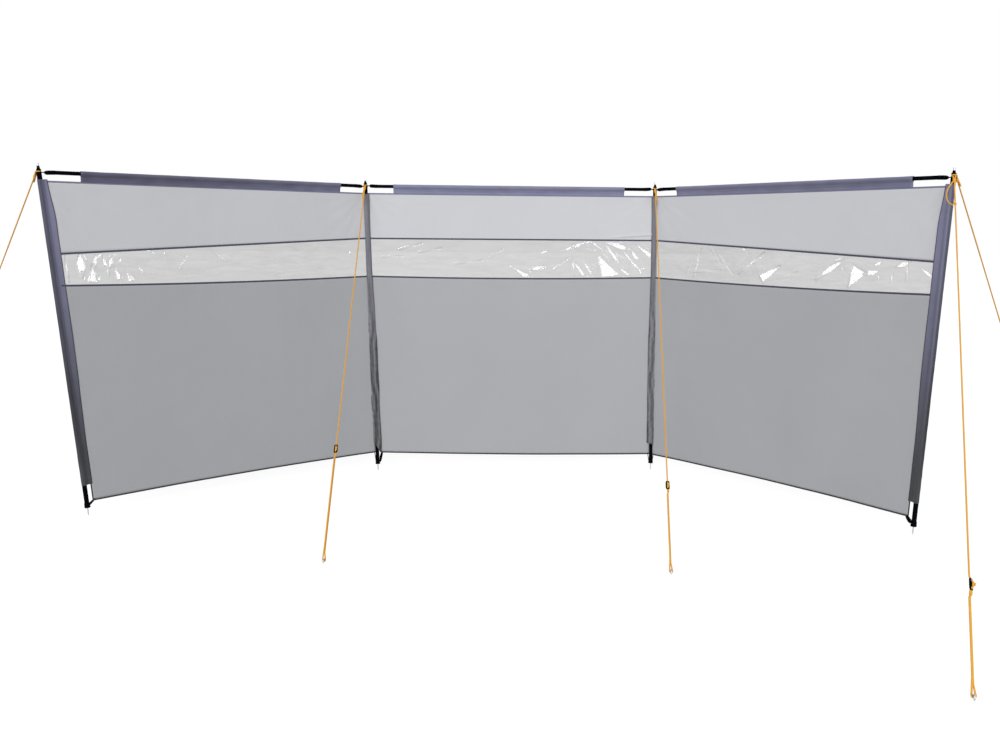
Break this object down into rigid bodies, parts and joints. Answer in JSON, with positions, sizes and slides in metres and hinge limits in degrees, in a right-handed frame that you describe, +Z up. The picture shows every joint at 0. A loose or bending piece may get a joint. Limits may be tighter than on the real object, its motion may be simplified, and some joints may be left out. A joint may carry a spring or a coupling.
{
  "type": "beach windbreak",
  "caption": "Pitched windbreak of three cloth bays between leaning poles, with top rails in cloth pockets, a clear film window band, rope stays, tensioners and pegs",
  "frame": {"origin": "middle of the inner left pole's foot face, which stands on the ground", "axes": "+X along the middle bay to the inner right pole, +Z up, -Y towards the sheltered side that both wings fold to"},
  "size_m": [5.6008, 2.4181, 1.4757],
  "materials": {
    "black_frame": "satin black powder coat",
    "steel": "zinc plated",
    "light_grey_cloth": "plain woven polyester, coated",
    "grey_cloth": "plain woven polyester, coated",
    "blue_grey_cloth": "heavy woven polyester",
    "clear_film": "clear soft film, creased",
    "black_webbing": "woven webbing",
    "orange_rope": "braided cord",
    "black_plastic": "moulded, matte"
  },
  "bodies": {
    "root": {"outer_left_pole": "black_frame", "outer_left_top_pin": "steel", "outer_left_foot_spike": "steel", "outer_left_pole_sleeve": "blue_grey_cloth", "inner_left_pole": "black_frame", "inner_left_top_pin": "steel", "inner_left_foot_spike": "steel", "inner_left_pole_sleeve": "blue_grey_cloth", "inner_right_pole": "black_frame", "inner_right_top_pin": "steel", "inner_right_foot_spike": "steel", "inner_right_pole_sleeve": "blue_grey_cloth", "outer_right_pole": "black_frame", "outer_right_top_pin": "steel", "outer_right_foot_spike": "steel", "outer_right_pole_sleeve": "blue_grey_cloth", "left_bay_rail": "black_frame", "left_bay_rail_pocket": "blue_grey_cloth", "left_bay_upper_band": "light_grey_cloth", "left_bay_window": "clear_film", "left_bay_lower_band": "grey_cloth", "left_bay_edge_tapes": "blue_grey_cloth", "centre_bay_rail": "black_frame", "centre_bay_rail_pocket": "blue_grey_cloth", "centre_bay_upper_band": "light_grey_cloth", "centre_bay_window": "clear_film", "centre_bay_lower_band": "grey_cloth", "centre_bay_edge_tapes": "blue_grey_cloth", "right_bay_rail": "black_frame", "right_bay_rail_pocket": "blue_grey_cloth", "right_bay_upper_band": "light_grey_cloth", "right_bay_window": "clear_film", "right_bay_lower_band": "grey_cloth", "right_bay_edge_tapes": "blue_grey_cloth", "outer_left_side_stay": "orange_rope", "inner_left_front_stay": "orange_rope", "inner_right_front_stay": "orange_rope", "outer_right_front_stay": "orange_rope", "outer_right_side_stay": "orange_rope", "slack_rope_end": "orange_rope", "foot_straps": "black_webbing", "rope_tensioners": "black_plastic", "ground_pegs": "steel"}
  },
  "joints": []
}
